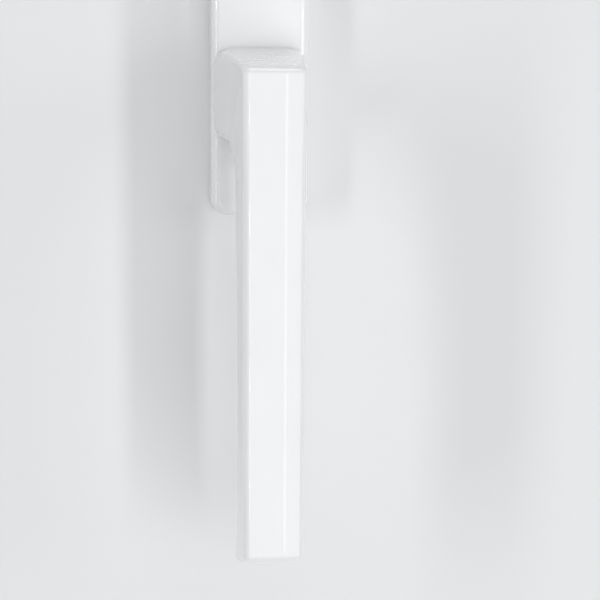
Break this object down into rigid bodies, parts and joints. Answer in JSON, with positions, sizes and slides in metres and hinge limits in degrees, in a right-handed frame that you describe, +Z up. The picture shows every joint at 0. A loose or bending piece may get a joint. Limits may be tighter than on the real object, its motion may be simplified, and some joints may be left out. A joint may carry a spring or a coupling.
{
  "type": "window handle",
  "caption": "Lever window handle on a narrow rounded base plate with a hidden fixing cover, click positions and a square drive spindle.",
  "frame": {"origin": "where the spindle's axis meets the sash face that the base is screwed to", "axes": "+Z up, along the base plate; +Y into the sash, along the spindle; the lever stands out towards -Y and hangs down along -Z"},
  "size_m": [0.029, 0.088, 0.1688],
  "materials": {
    "lever_enamel": "gloss white enamel with a faint orange peel",
    "cap_plastic": "semi-gloss white moulded plastic",
    "natural_plastic": "natural acetal",
    "grey_plastic": "moulded grey polyamide",
    "cast_zinc": "as-cast zinc, slightly grainy",
    "plated_steel": "bright zinc plating",
    "spring_steel": "dark tempered spring steel, oiled"
  },
  "bodies": {
    "base": {"cover_cap": "cap_plastic", "base_plate": "cast_zinc", "guide_bush": "natural_plastic", "back_plate": "plated_steel", "detent_spring_left": "spring_steel", "detent_spring_right": "spring_steel", "back_plate_rivet_upper": "plated_steel", "back_plate_rivet_lower": "plated_steel", "fixing_screw_upper": "plated_steel", "fixing_screw_lower": "plated_steel", "locating_lug_upper": "grey_plastic", "locating_lug_lower": "grey_plastic"},
    "lever": {"lever": "lever_enamel", "slide_ring": "natural_plastic", "spindle": "plated_steel", "spindle_roll_pin": "spring_steel", "thrust_washer": "plated_steel", "wave_washer": "spring_steel", "detent_cam": "cast_zinc", "retaining_ring": "spring_steel"}
  },
  "joints": [
    {"name": "lever_turn", "type": "hinge", "parent": "base", "child": "lever", "pos_m": [0, 0, 0], "axis": [0, 1, 0], "range_deg": [-180, 180], "deforming": ["detent_spring_left", "detent_spring_right"]}
  ]
}
